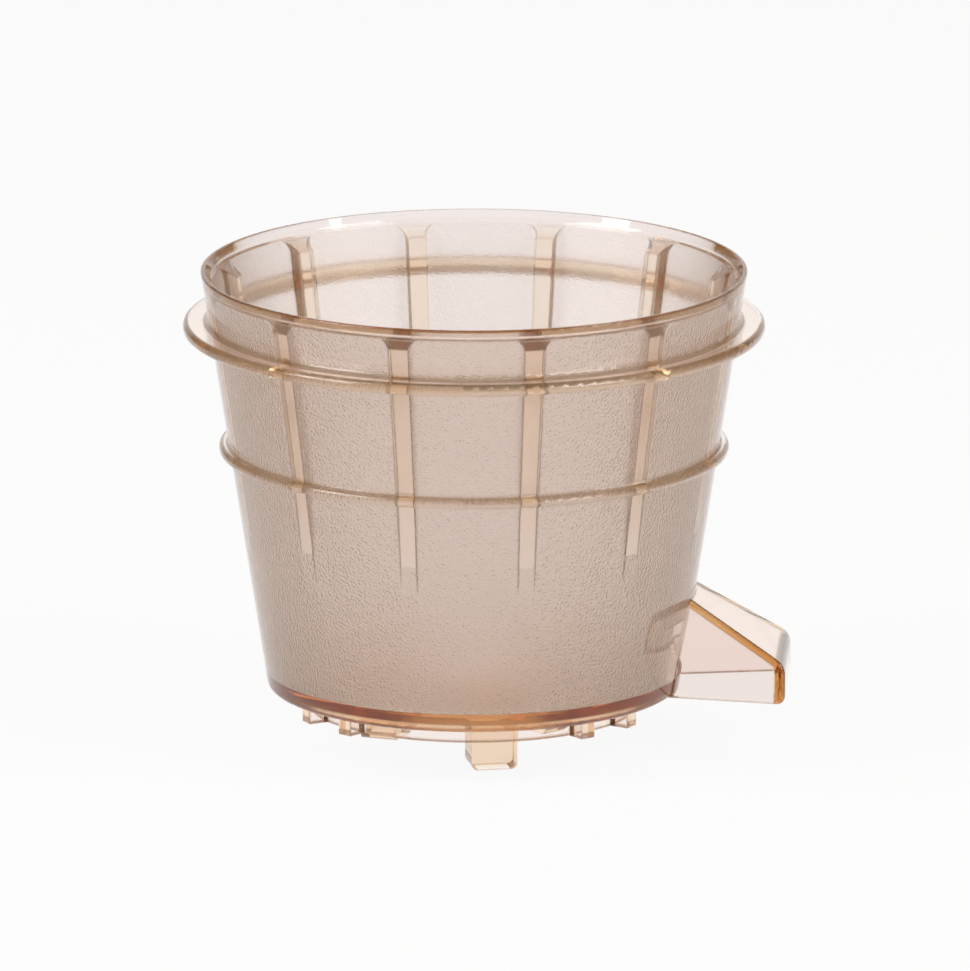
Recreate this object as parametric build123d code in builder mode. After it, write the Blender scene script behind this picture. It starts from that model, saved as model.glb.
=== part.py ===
"""Blank screen of a slow juicer: one clear moulded cup without holes in its wall.

The cup's axis is Z and its pulp chute points along +X. Z = 0 is the plane of the skirt's lower edge,
where the drive bore opens downwards. Lengths are millimetres and angles are degrees.
"""

import os
from math import asin, atan, cos, degrees, radians, sin, sqrt, tan

from build123d import *

# Wall of the cup: a straight cone from the base edge up to the rim
rim_radius = 60.1  # outer radius at the top of the rim
base_radius = 45.4  # outer radius where the cone meets the base
cup_height = 93.6  # base edge to rim
wall = 2.3  # wall between the ribs
base_round = 1.4  # rounding of the base edge
floor_corner_round = 0.7  # rounding where the wall meets the floor

# Rim: a narrow flat top that falls away to the inside
rim_land = 0.9  # outer edge to where the top starts to fall
rim_fall = 1.7  # how far the top falls to its inner edge
rim_thickness = 1.75
rim_depth = 2.1  # top to where the ramp inside the wall starts
rim_outer_round = 0.4

# Flange below the rim
flange_width = 5.8  # how far it stands out from the wall
flange_thickness = 2.6
flange_height = 81.0  # base edge to the flange's middle
flange_root_round = 1.1

# Bead round the middle of the wall
bead_width = 2.2  # how far it stands out from the wall
bead_thickness = 2.2
bead_height = 53.8  # base edge to the bead's middle
bead_root_round = 0.4

# Ribs inside the wall, with recessed panels between them
rib_count = 12
rib_first_angle = 16.4
rib_width_top = 4.2  # across a rib's inner face
rib_width_low = 3.5
rib_depth = 3.0
rib_draft = 1.5  # angle of each side of a rib
rib_ramp_height = 3.2  # slanted ring below the rim, where the ribs end
panel_corner_round = 3.0  # upper corners of the panels
rib_ledge_height = 54.6  # base edge to the step in a rib
rib_low_depth = 2.1  # depth of a rib just below its step
rib_low_height = 31.5  # base edge to where a rib runs out into the wall

# Flat lead-ins beside the chute's port, in the inside of the wall
lead_angle = 29.0  # from the chute's axis to where a lead-in starts
lead_height = 17.8  # base edge to a lead-in's top

# Floor, drive bore and hub
floor_height = 4.0  # base edge to the floor's upper face
floor_thickness = 3.0
bore_radius = 16.0
hub_wall = 2.6

# Skirt under the floor, with locking lugs round it
skirt_radius = 37.2
skirt_wall = 2.2
skirt_drop = 4.2  # base edge to the skirt's lower edge
lug_width = 3.5
lug_depth = 4.4
lug_pair_angles = (39.9, 59.3)  # from the cup's front and back, to both sides

# Legs on the hub
leg_count = 3
leg_first_angle = -76.5
leg_width = 10.2
leg_setback = 0.6  # bore's wall to a leg's inner face
leg_reach = 24.8  # axis to a leg's outer face
leg_drop = 9.4  # skirt's lower edge to a leg's foot
leg_corner_round = 1.5

# Pulp chute: a hood with a falling roof, open below and into the cup
chute_reach = 69.2  # axis to the chute's end
chute_root_height = 21.4  # base edge to the roof where it leaves the wall
chute_end_height = 8.6  # base edge to the roof at the chute's end
chute_half_width = 13.0  # half the width at the bottom, at the root
chute_flare = 11.0  # angle of each side to the chute's axis
chute_lean = 9.0  # angle of each side to the upright
chute_wall = 2.2
chute_end_round = 4.0  # rounding from the roof into the end wall
chute_foot_round = 1.8  # lower edge of the end wall
chute_edge_round = 0.6  # edges of the sides

base_z = skirt_drop
rim_z = base_z + cup_height
floor_z = base_z + floor_height
under_floor_z = floor_z - floor_thickness
ramp_top = cup_height - rim_depth
ramp_share = (wall - rim_thickness) / (wall + rib_depth - rim_thickness)  # part of the ramp above the panels
panel_top = ramp_top - rib_ramp_height * ramp_share
hub_radius = bore_radius + hub_wall
side_lean = degrees(atan(tan(radians(chute_lean)) * cos(radians(chute_flare))))  # square to a chute side
cut_margin = 1.0  # how far a cut starts outside what it cuts


def outer_radius(height):
    """Radius of the wall's outside at a height above the base edge."""
    return base_radius + (rim_radius - base_radius) * height / cup_height


chute_root = outer_radius(chute_root_height)  # axis to where the chute's roof leaves the wall


def inner_radius(height):
    """Radius of the panels inside the wall at a height above the base edge."""
    return outer_radius(height) - wall


def on_wall(height, inset=0.0):
    """Point at a depth below the wall's outside, as radius and Z."""
    return (outer_radius(height) - inset, base_z + height)


def corners(sketch, points):
    """Vertices of a sketch that lie at the given points."""
    spots = [Vector(*point) for point in points]
    return [v for v in sketch.vertices() if any((Vector(v.X, v.Y) - s).length < 1e-4 for s in spots)]


def radial_plane(angle, distance, facing=1):
    """Upright plane at an angle round the axis that faces away from it, or towards it with facing -1."""
    outward = Vector(cos(radians(angle)), sin(radians(angle)), 0)
    sideways = Vector(-sin(radians(angle)), cos(radians(angle)), 0)
    return Plane(origin=outward * distance, x_dir=sideways * facing, z_dir=outward * facing)


def around(count, first_angle):
    """Equally spaced angles round the axis."""
    return [first_angle + 360.0 / count * i for i in range(count)]


def chute_roof(reach):
    """Height of the chute's roof above the base edge at a distance from the axis."""
    fall = (chute_root_height - chute_end_height) / (chute_reach - chute_root)
    return chute_root_height - fall * (reach - chute_root)


def chute_half(reach, height, inset):
    """Half the width between the chute's sides at a distance from the axis and a height above the base edge."""
    flared = chute_half_width + (reach - chute_root) * tan(radians(chute_flare))
    return flared - height * tan(radians(chute_lean)) - inset


def chute_block(low, inset, end_round, foot_round=0.0):
    """Solid that fills the chute from a height above the base edge, as large as the chute less an inset."""
    # The sides start just inside the wall and end above the roof
    start = sqrt(inner_radius(0) ** 2 - chute_half_width**2) - cut_margin
    end = chute_reach - inset
    high = chute_root_height + wall
    end_top = (end, base_z + chute_roof(end) - inset)
    end_foot = (end, base_z + low)
    with BuildPart() as block:
        with BuildSketch(Plane.XZ) as profile:
            with BuildLine():
                Polyline(
                    (start, base_z + low),
                    end_foot,
                    end_top,
                    (start, base_z + chute_roof(start) - inset),
                    close=True,
                )
            make_face()
            fillet(corners(profile, [end_top]), end_round)
            if foot_round:
                fillet(corners(profile, [end_foot]), foot_round)
        extrude(amount=chute_reach, both=True)
        # Both sides lean inwards; the ends of this wedge lie outside the profile
        spare = cut_margin + (high - low) * tan(radians(chute_lean))
        near, far = start - spare, chute_reach + spare
        near_half, far_half = chute_half(near, low, inset), chute_half(far, low, inset)
        with BuildSketch(Plane.XY.offset(base_z + low)):
            Polygon((near, -near_half), (far, -far_half), (far, far_half), (near, near_half), align=None)
        extrude(amount=high - low, taper=side_lean, mode=Mode.INTERSECT)
    return block


# Inner ribs: drafted bars with flared tops, kept only where they lie in the ring inside the wall
with BuildPart() as ribs:
    bar_low = rib_low_height - cut_margin
    bar_length = rim_radius - inner_radius(bar_low) + rib_depth
    half_top = rib_width_top / 2 + (rim_radius - inner_radius(panel_top) + rib_depth) * tan(radians(rib_draft))
    half_low = rib_width_low / 2 + (rim_radius - inner_radius(bar_low)) * tan(radians(rib_draft))
    bar_planes = [radial_plane(angle, rim_radius, -1) for angle in around(rib_count, rib_first_angle)]
    with BuildSketch(*bar_planes) as bar:
        with BuildLine():
            Polyline(
                (-half_low, base_z + bar_low - cut_margin),
                (half_low, base_z + bar_low - cut_margin),
                (half_top, base_z + panel_top),
                (-half_top, base_z + panel_top),
                close=True,
            )
        make_face()
        with Locations((0, base_z + panel_top)):
            Rectangle(2 * half_top + 4 * panel_corner_round, 2 * rim_depth, align=(Align.CENTER, Align.MIN))
        necks = [(side * half_top, base_z + panel_top) for side in (-1, 1)]
        fillet(corners(bar, necks), panel_corner_round)
    extrude(amount=bar_length, taper=rib_draft)
    with BuildSketch(Plane.XZ):
        with BuildLine():
            Polyline(
                on_wall(rib_low_height, wall / 2),
                on_wall(rib_low_height, wall),
                on_wall(rib_ledge_height, wall + rib_low_depth),
                on_wall(rib_ledge_height, wall + rib_depth),
                on_wall(ramp_top - rib_ramp_height, wall + rib_depth),
                on_wall(ramp_top, rim_thickness),
                on_wall(ramp_top, wall / 2),
                close=True,
            )
        make_face()
    revolve(axis=Axis.Z, mode=Mode.INTERSECT)

# Blocks that shape the chute: its outside, the space under its roof and the port through the wall
inside_round = chute_end_round - chute_wall
chute_outside = chute_block(0, 0, chute_end_round, min(chute_foot_round, 0.9 * chute_wall))
chute_space = chute_block(-cut_margin, chute_wall, inside_round)
chute_port = chute_block(floor_height, chute_wall, inside_round)

# Chute: a hood with leaning sides, cut back to the inside of the cup's wall
with BuildPart() as hood:
    add(chute_outside.part)
    side_faces = hood.faces().sort_by(Axis.Y)
    fillet(side_faces[0].edges() + side_faces[-1].edges(), chute_edge_round)
    with BuildSketch(Plane.XZ):
        with BuildLine():
            Polyline(
                (0, base_z - cut_margin),
                (inner_radius(-cut_margin), base_z - cut_margin),
                (inner_radius(cup_height), rim_z),
                (0, rim_z),
                close=True,
            )
        make_face()
    revolve(axis=Axis.Z, mode=Mode.SUBTRACT)

# Space under the hood, outside the wall and open downwards
with BuildPart() as hood_space:
    add(chute_space.part)
    with BuildSketch(Plane.XZ):
        with BuildLine():
            Polyline(
                (0, base_z - 2 * cut_margin),
                (outer_radius(-2 * cut_margin), base_z - 2 * cut_margin),
                (outer_radius(cup_height), rim_z),
                (0, rim_z),
                close=True,
            )
        make_face()
    revolve(axis=Axis.Z, mode=Mode.SUBTRACT)

# Cut for one lead-in: its outer face is the tangent plane of the wall's inside where the lead-in starts
port_angle = degrees(asin((chute_half_width - chute_wall) / chute_root))
lead_length = inner_radius(floor_height) * tan(radians(lead_angle - port_angle)) + cut_margin
lead_outward = Vector(cos(radians(lead_angle)), sin(radians(lead_angle)), 0)
lead_along = Vector(sin(radians(lead_angle)), -cos(radians(lead_angle)), 0)
with BuildPart() as lead_in_left:
    with BuildSketch(Plane(origin=(0, 0, 0), x_dir=lead_outward, z_dir=lead_along)):
        Polygon(
            (inner_radius(floor_height) - lead_length, floor_z),
            (inner_radius(floor_height), floor_z),
            (inner_radius(lead_height), base_z + lead_height),
            (inner_radius(lead_height) - lead_length, base_z + lead_height),
            align=None,
        )
    extrude(amount=lead_length)

# Whole cup
with BuildPart() as blank_screen:
    base_edge = on_wall(0)
    bead_radius = outer_radius(bead_height) + bead_width
    bead_low = bead_height - bead_thickness / 2
    bead_high = bead_height + bead_thickness / 2
    bead_roots = [on_wall(bead_low), on_wall(bead_high)]
    bead_edges = [(bead_radius, base_z + bead_low), (bead_radius, base_z + bead_high)]
    flange_radius = outer_radius(flange_height) + flange_width
    flange_low = flange_height - flange_thickness / 2
    flange_high = flange_height + flange_thickness / 2
    flange_roots = [on_wall(flange_low), on_wall(flange_high)]
    flange_edges = [(flange_radius, base_z + flange_low), (flange_radius, base_z + flange_high)]
    rim_outside = on_wall(cup_height)
    floor_corner = on_wall(floor_height, wall)
    with BuildSketch(Plane.XZ) as section:
        with BuildLine():
            Polyline(
                base_edge,
                bead_roots[0],
                bead_edges[0],
                bead_edges[1],
                bead_roots[1],
                flange_roots[0],
                flange_edges[0],
                flange_edges[1],
                flange_roots[1],
                rim_outside,
                on_wall(cup_height, rim_land),
                on_wall(cup_height - rim_fall, rim_thickness),
                on_wall(ramp_top, rim_thickness),
                on_wall(panel_top, wall),
                floor_corner,
                (bore_radius, floor_z),
                (bore_radius, 0),
                (hub_radius, 0),
                (hub_radius, under_floor_z),
                (skirt_radius - skirt_wall, under_floor_z),
                (skirt_radius - skirt_wall, 0),
                (skirt_radius, 0),
                (skirt_radius, base_z),
                close=True,
            )
        make_face()
        fillet(corners(section, [base_edge]), base_round)
        fillet(corners(section, bead_roots), bead_root_round)
        fillet(corners(section, bead_edges), min(0.45 * bead_thickness, 0.5 * bead_width))
        fillet(corners(section, flange_roots), flange_root_round)
        fillet(corners(section, flange_edges), min(0.45 * flange_thickness, 0.5 * flange_width))
        fillet(corners(section, [rim_outside]), rim_outer_round)
        fillet(corners(section, [floor_corner]), floor_corner_round)
    revolve(axis=Axis.Z)
    add(ribs.part)

    # Locking lugs round the skirt, in pairs beside the cup's front and back
    lug_angles = [face + side * angle for face in (-90, 90) for side in (-1, 1) for angle in lug_pair_angles]
    with BuildSketch(Plane.XY):
        for angle in lug_angles:
            with PolarLocations(skirt_radius - skirt_wall / 2, 1, angle):
                Rectangle(lug_depth + skirt_wall / 2, lug_width, align=(Align.MIN, Align.CENTER))
    extrude(amount=base_z)

    # Legs: blocks that hang from the floor beside the hub
    leg_inside = bore_radius + leg_setback
    with BuildSketch(*[radial_plane(angle, leg_inside) for angle in around(leg_count, leg_first_angle)]) as leg:
        with Locations((0, -leg_drop)):
            Rectangle(leg_width, leg_drop + under_floor_z, align=(Align.CENTER, Align.MIN))
        feet = [(side * leg_width / 2, -leg_drop) for side in (-1, 1)]
        fillet(corners(leg, feet), leg_corner_round)
    extrude(amount=leg_reach - leg_inside)

    # Chute, the space below it, the port through the wall and the lead-ins beside it
    add(hood.part)
    add(hood_space.part, mode=Mode.SUBTRACT)
    add(chute_port.part, mode=Mode.SUBTRACT)
    for lead_in in (lead_in_left.part, mirror(lead_in_left.part, about=Plane.XZ)):
        add(lead_in, mode=Mode.SUBTRACT)

blank_screen.part.label = "blank_screen"
os.makedirs("parts", exist_ok=True)
export_step(blank_screen.part, "parts/blank_screen.step")
print("volume cm3", round(blank_screen.part.volume / 1000, 2))
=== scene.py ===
"""Looks of the juicer's blank screen: a clear amber cup on a white studio floor."""

from math import cos, radians, sin

import bpy
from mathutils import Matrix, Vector


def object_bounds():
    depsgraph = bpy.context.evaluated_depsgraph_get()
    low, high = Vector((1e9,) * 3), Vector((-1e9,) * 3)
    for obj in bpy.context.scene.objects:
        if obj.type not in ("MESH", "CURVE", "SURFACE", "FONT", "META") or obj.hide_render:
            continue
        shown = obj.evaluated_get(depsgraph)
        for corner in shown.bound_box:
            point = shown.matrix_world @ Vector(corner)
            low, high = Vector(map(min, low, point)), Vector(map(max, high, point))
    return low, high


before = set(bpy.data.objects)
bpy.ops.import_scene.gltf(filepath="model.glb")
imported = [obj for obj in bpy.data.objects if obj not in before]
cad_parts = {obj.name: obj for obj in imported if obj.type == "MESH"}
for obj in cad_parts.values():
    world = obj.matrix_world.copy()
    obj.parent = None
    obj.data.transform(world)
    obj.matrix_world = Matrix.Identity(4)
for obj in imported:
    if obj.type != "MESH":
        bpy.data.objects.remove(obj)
cad_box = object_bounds()
MM = 0.001

# Inside of the cup, in millimetres, where the mould isn't polished
RIM_RADIUS = 60.1
BASE_RADIUS = 45.4
CUP_HEIGHT = 93.6
WALL = 2.3
RIB_DEPTH = 3.0
BASE_Z = 4.2
UNDER_FLOOR_Z = 5.2
FLOOR_Z = 8.2
PANEL_TOP_Z = 95.2
MASK_EDGE = 0.6  # how far from such a face its finish reaches

# Finish of the moulding, in millimetres
PEBBLE = 0.5  # the real grain is finer, and is drawn as coarse as it needs to be to show
PEBBLE_RELIEF = 0.28
EDGE_ROUND = 0.7
POLISHED_ROUGHNESS = 0.02
PANEL_ROUGHNESS = 0.42  # matt faces that aren't pebbled come halfway
WALL_CLEARNESS = 0.85  # the rest is milky
REFRACTIVE_INDEX = 1.6

# Camera: a long lens, a little above the rim
CAMERA_AZIMUTH = 3.0
CAMERA_ELEVATION = 13.6
CAMERA_DISTANCE = 4500.0
VIEW_WIDTH = 213.4
VIEW_CENTRE_UP = 48.9
VIEW_CENTRE_RIGHT = 2.42
SENSOR_WIDTH = 36.0

# Studio, in metres, watts and degrees
FLOOR_HALF_WIDTH = 1.5
FLOOR_FRONT = -1.5
FLOOR_BACK = 3.0
WHITE_SHARE = 0.92  # of the floor that is plain white to the eye; the rest takes the shadow
BACKDROP_INNER = 14.0
BACKDROP_OUTER = 38.0
SOFTBOX_SIZE = 0.8
SOFTBOX_AIM = Vector((0, 0, 0.05))
SOFTBOX_SIDE = 1.2
SOFTBOX_FRONT = -0.6
SOFTBOX_HEIGHT = 0.9
SOFTBOX_LEFT_POWER = 16.0
SOFTBOX_RIGHT_POWER = 14.0


def linear(colour):
    """Linear RGBA of an sRGB hex colour."""
    channels = [int(colour[i:i + 2], 16) / 255 for i in (1, 3, 5)]
    return [c / 12.92 if c <= 0.04045 else ((c + 0.055) / 1.055) ** 2.4 for c in channels] + [1.0]


def add_node(tree, kind, inputs=None, **settings):
    """Adds a shader node: inputs are values or the output sockets that feed them."""
    node = tree.nodes.new(kind)
    for name, value in settings.items():
        setattr(node, name, value)
    for key, value in (inputs or {}).items():
        if isinstance(value, bpy.types.NodeSocket):
            tree.links.new(value, node.inputs[key])
        else:
            node.inputs[key].default_value = value
    return node


def new_material(name):
    """Empty node material."""
    material = bpy.data.materials.new(name)
    material.use_nodes = True
    material.node_tree.nodes.clear()
    return material


def moulded_polyetherimide():
    """Clear polyetherimide from a polished mould: glossy, and amber where one looks through much of it.
    The mould is spark-eroded on the panels inside the wall and matt on the ribs and the floor, so the
    wall blurs what is behind it and its flanks look pebbled."""
    material = new_material("clear_amber_polyetherimide_moulded")
    tree = material.node_tree

    # Depth of a point inside the cone that the panels lie on
    position = add_node(tree, "ShaderNodeTexCoord").outputs["Object"]
    place = add_node(tree, "ShaderNodeSeparateXYZ", {0: position})
    height = place.outputs["Z"]
    flat = add_node(tree, "ShaderNodeCombineXYZ", {"X": place.outputs["X"], "Y": place.outputs["Y"]})
    radius = add_node(tree, "ShaderNodeVectorMath", {
        0: flat.outputs[0]}, operation="LENGTH").outputs["Value"]
    cone = add_node(tree, "ShaderNodeMapRange", {
        "Value": height,
        "From Min": BASE_Z * MM,
        "From Max": (BASE_Z + CUP_HEIGHT) * MM,
        "To Min": (BASE_RADIUS - WALL) * MM,
        "To Max": (RIM_RADIUS - WALL) * MM,
    }, clamp=False).outputs["Result"]
    depth = add_node(tree, "ShaderNodeMath", {0: cone, 1: radius}, operation="SUBTRACT").outputs[0]

    # Panels, and the whole wall with the ribs' faces, between the floor and the rim
    between = add_node(tree, "ShaderNodeMath", {
        0: height,
        1: (PANEL_TOP_Z + FLOOR_Z) / 2 * MM,
        2: (PANEL_TOP_Z - FLOOR_Z) / 2 * MM,
    }, operation="COMPARE").outputs[0]
    at_panel = add_node(tree, "ShaderNodeMath", {
        0: depth, 1: 0.0, 2: MASK_EDGE * MM}, operation="COMPARE").outputs[0]
    at_wall = add_node(tree, "ShaderNodeMath", {
        0: depth,
        1: RIB_DEPTH / 2 * MM,
        2: (RIB_DEPTH / 2 + MASK_EDGE) * MM,
    }, operation="COMPARE").outputs[0]
    panel = add_node(tree, "ShaderNodeMath", {0: at_panel, 1: between}, operation="MULTIPLY").outputs[0]
    wall = add_node(tree, "ShaderNodeMath", {0: at_wall, 1: between}, operation="MULTIPLY").outputs[0]

    # Both faces of the floor
    at_floor = add_node(tree, "ShaderNodeMath", {
        0: height,
        1: (FLOOR_Z + UNDER_FLOOR_Z) / 2 * MM,
        2: ((FLOOR_Z - UNDER_FLOOR_Z) / 2 + MASK_EDGE) * MM,
    }, operation="COMPARE").outputs[0]
    within = add_node(tree, "ShaderNodeMath", {
        0: depth, 1: -MASK_EDGE * MM}, operation="GREATER_THAN").outputs[0]
    floor = add_node(tree, "ShaderNodeMath", {0: at_floor, 1: within}, operation="MULTIPLY").outputs[0]

    # Pebbles on the panels, and edges as round as the mould leaves them
    pebbles = add_node(tree, "ShaderNodeTexNoise", {
        "Vector": position, "Scale": 1 / (PEBBLE * MM), "Detail": 2.0}).outputs["Fac"]
    rounded = add_node(tree, "ShaderNodeBevel", {"Radius": EDGE_ROUND * MM}, samples=4).outputs["Normal"]
    relief = add_node(tree, "ShaderNodeBump", {
        "Strength": panel, "Distance": PEBBLE_RELIEF * MM, "Height": pebbles, "Normal": rounded})

    # Polished faces are smooth, matt ones rougher and panels, which count twice, the roughest;
    # matt walls are a little milky
    matt = add_node(tree, "ShaderNodeMath", {0: wall, 1: floor}, operation="MAXIMUM").outputs[0]
    dullness = add_node(tree, "ShaderNodeMath", {0: panel, 1: matt}, operation="ADD").outputs[0]
    roughness = add_node(tree, "ShaderNodeMapRange", {
        "Value": dullness,
        "From Max": 2.0,
        "To Min": POLISHED_ROUGHNESS,
        "To Max": PANEL_ROUGHNESS,
    }).outputs["Result"]
    clearness = add_node(tree, "ShaderNodeMapRange", {
        "Value": wall, "To Min": 1.0, "To Max": WALL_CLEARNESS}).outputs["Result"]
    surface = add_node(tree, "ShaderNodeBsdfPrincipled", {
        "Base Color": linear("#FEF9FD"),
        "Roughness": roughness,
        "IOR": REFRACTIVE_INDEX,
        "Transmission Weight": clearness,
        "Normal": relief.outputs["Normal"],
    })
    amber = add_node(tree, "ShaderNodeVolumeAbsorption", {"Color": linear("#EFC860"), "Density": 86.0})
    add_node(tree, "ShaderNodeOutputMaterial", {
        "Surface": surface.outputs[0], "Volume": amber.outputs[0]})
    return material


def white_card():
    """Matt white card: seen straight or through the cup it is nearly plain white, with a pale shadow."""
    material = new_material("white_card")
    tree = material.node_tree
    path = add_node(tree, "ShaderNodeLightPath")
    straight = add_node(tree, "ShaderNodeMath", {
        0: path.outputs["Is Camera Ray"], 1: path.outputs["Is Transmission Ray"]}, operation="MAXIMUM")
    seen = add_node(tree, "ShaderNodeMath", {
        0: straight.outputs[0], 1: path.outputs["Is Glossy Ray"]}, operation="MAXIMUM")
    share = add_node(tree, "ShaderNodeMath", {0: seen.outputs[0], 1: WHITE_SHARE}, operation="MULTIPLY")
    card = add_node(tree, "ShaderNodeBsdfDiffuse", {"Color": linear("#F4F4F4")})
    white = add_node(tree, "ShaderNodeEmission", {"Color": linear("#FFFFFF"), "Strength": 1.0})
    both = add_node(tree, "ShaderNodeMixShader", {
        0: share.outputs[0], 1: card.outputs[0], 2: white.outputs[0]})
    add_node(tree, "ShaderNodeOutputMaterial", {"Surface": both.outputs[0]})
    return material


def add_floor(material):
    """Wide floor at the height of the legs' feet that runs far back."""
    corners = [
        (-FLOOR_HALF_WIDTH, FLOOR_FRONT),
        (FLOOR_HALF_WIDTH, FLOOR_FRONT),
        (FLOOR_HALF_WIDTH, FLOOR_BACK),
        (-FLOOR_HALF_WIDTH, FLOOR_BACK),
    ]
    feet = cad_box[0][2]
    mesh = bpy.data.meshes.new("studio_floor")
    mesh.from_pydata([(x, y, feet) for x, y in corners], [], [(0, 1, 2, 3)])
    mesh.materials.append(material)
    floor = bpy.data.objects.new("studio_floor", mesh)
    bpy.context.scene.collection.objects.link(floor)


def add_world():
    """Warm grey studio with a white backdrop behind the cup that fades out to the sides."""
    world = bpy.data.worlds.new("studio")
    world.use_nodes = True
    tree = world.node_tree
    tree.nodes.clear()
    ray = add_node(tree, "ShaderNodeTexCoord").outputs["Generated"]
    backwards = add_node(tree, "ShaderNodeSeparateXYZ", {0: ray}).outputs["Y"]
    backdrop = add_node(tree, "ShaderNodeMapRange", {
        "Value": backwards,
        "From Min": cos(radians(BACKDROP_OUTER)),
        "From Max": cos(radians(BACKDROP_INNER)),
    }, interpolation_type="SMOOTHSTEP").outputs["Result"]
    studio = add_node(tree, "ShaderNodeBackground", {"Color": linear("#786C61"), "Strength": 1.0})
    white = add_node(tree, "ShaderNodeBackground", {"Color": linear("#FFFFFF"), "Strength": 1.0})
    both = add_node(tree, "ShaderNodeMixShader", {
        0: backdrop, 1: studio.outputs[0], 2: white.outputs[0]})
    add_node(tree, "ShaderNodeOutputWorld", {"Surface": both.outputs[0]})
    bpy.context.scene.world = world


def add_camera():
    """Camera on the photograph's line of sight."""
    azimuth = radians(CAMERA_AZIMUTH)
    elevation = radians(CAMERA_ELEVATION)
    towards = Vector((sin(azimuth) * cos(elevation), -cos(azimuth) * cos(elevation), sin(elevation)))
    right = Vector((cos(azimuth), sin(azimuth), 0))
    centre = (Vector((0, 0, VIEW_CENTRE_UP)) + right * VIEW_CENTRE_RIGHT) * MM
    camera = bpy.data.objects.new("camera", bpy.data.cameras.new("camera"))
    camera.location = centre + towards * CAMERA_DISTANCE * MM
    camera.rotation_euler = (-towards).to_track_quat("-Z", "Y").to_euler()
    camera.data.sensor_fit = "HORIZONTAL"
    camera.data.sensor_width = SENSOR_WIDTH
    camera.data.lens = SENSOR_WIDTH * CAMERA_DISTANCE / VIEW_WIDTH
    bpy.context.scene.collection.objects.link(camera)
    bpy.context.scene.camera = camera


def add_softbox(name, side, power):
    """Soft square light that faces the cup from one side of the camera."""
    data = bpy.data.lights.new(name, "AREA")
    data.shape = "SQUARE"
    data.size = SOFTBOX_SIZE
    data.energy = power
    lamp = bpy.data.objects.new(name, data)
    lamp.location = (side, SOFTBOX_FRONT, SOFTBOX_HEIGHT)
    lamp.rotation_euler = (SOFTBOX_AIM - lamp.location).to_track_quat("-Z", "Y").to_euler()
    bpy.context.scene.collection.objects.link(lamp)


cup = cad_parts["blank_screen"]
cup.data.materials.clear()
cup.data.materials.append(moulded_polyetherimide())
add_floor(white_card())
add_world()
add_softbox("softbox_left", -SOFTBOX_SIDE, SOFTBOX_LEFT_POWER)
add_softbox("softbox_right", SOFTBOX_SIDE, SOFTBOX_RIGHT_POWER)
add_camera()

# Light that crosses both walls meets many faces, so it needs more bounces than usual
scene = bpy.context.scene
scene.view_settings.view_transform = "Standard"
scene.cycles.max_bounces = 18
scene.cycles.transmission_bounces = 18
scene.cycles.glossy_bounces = 8
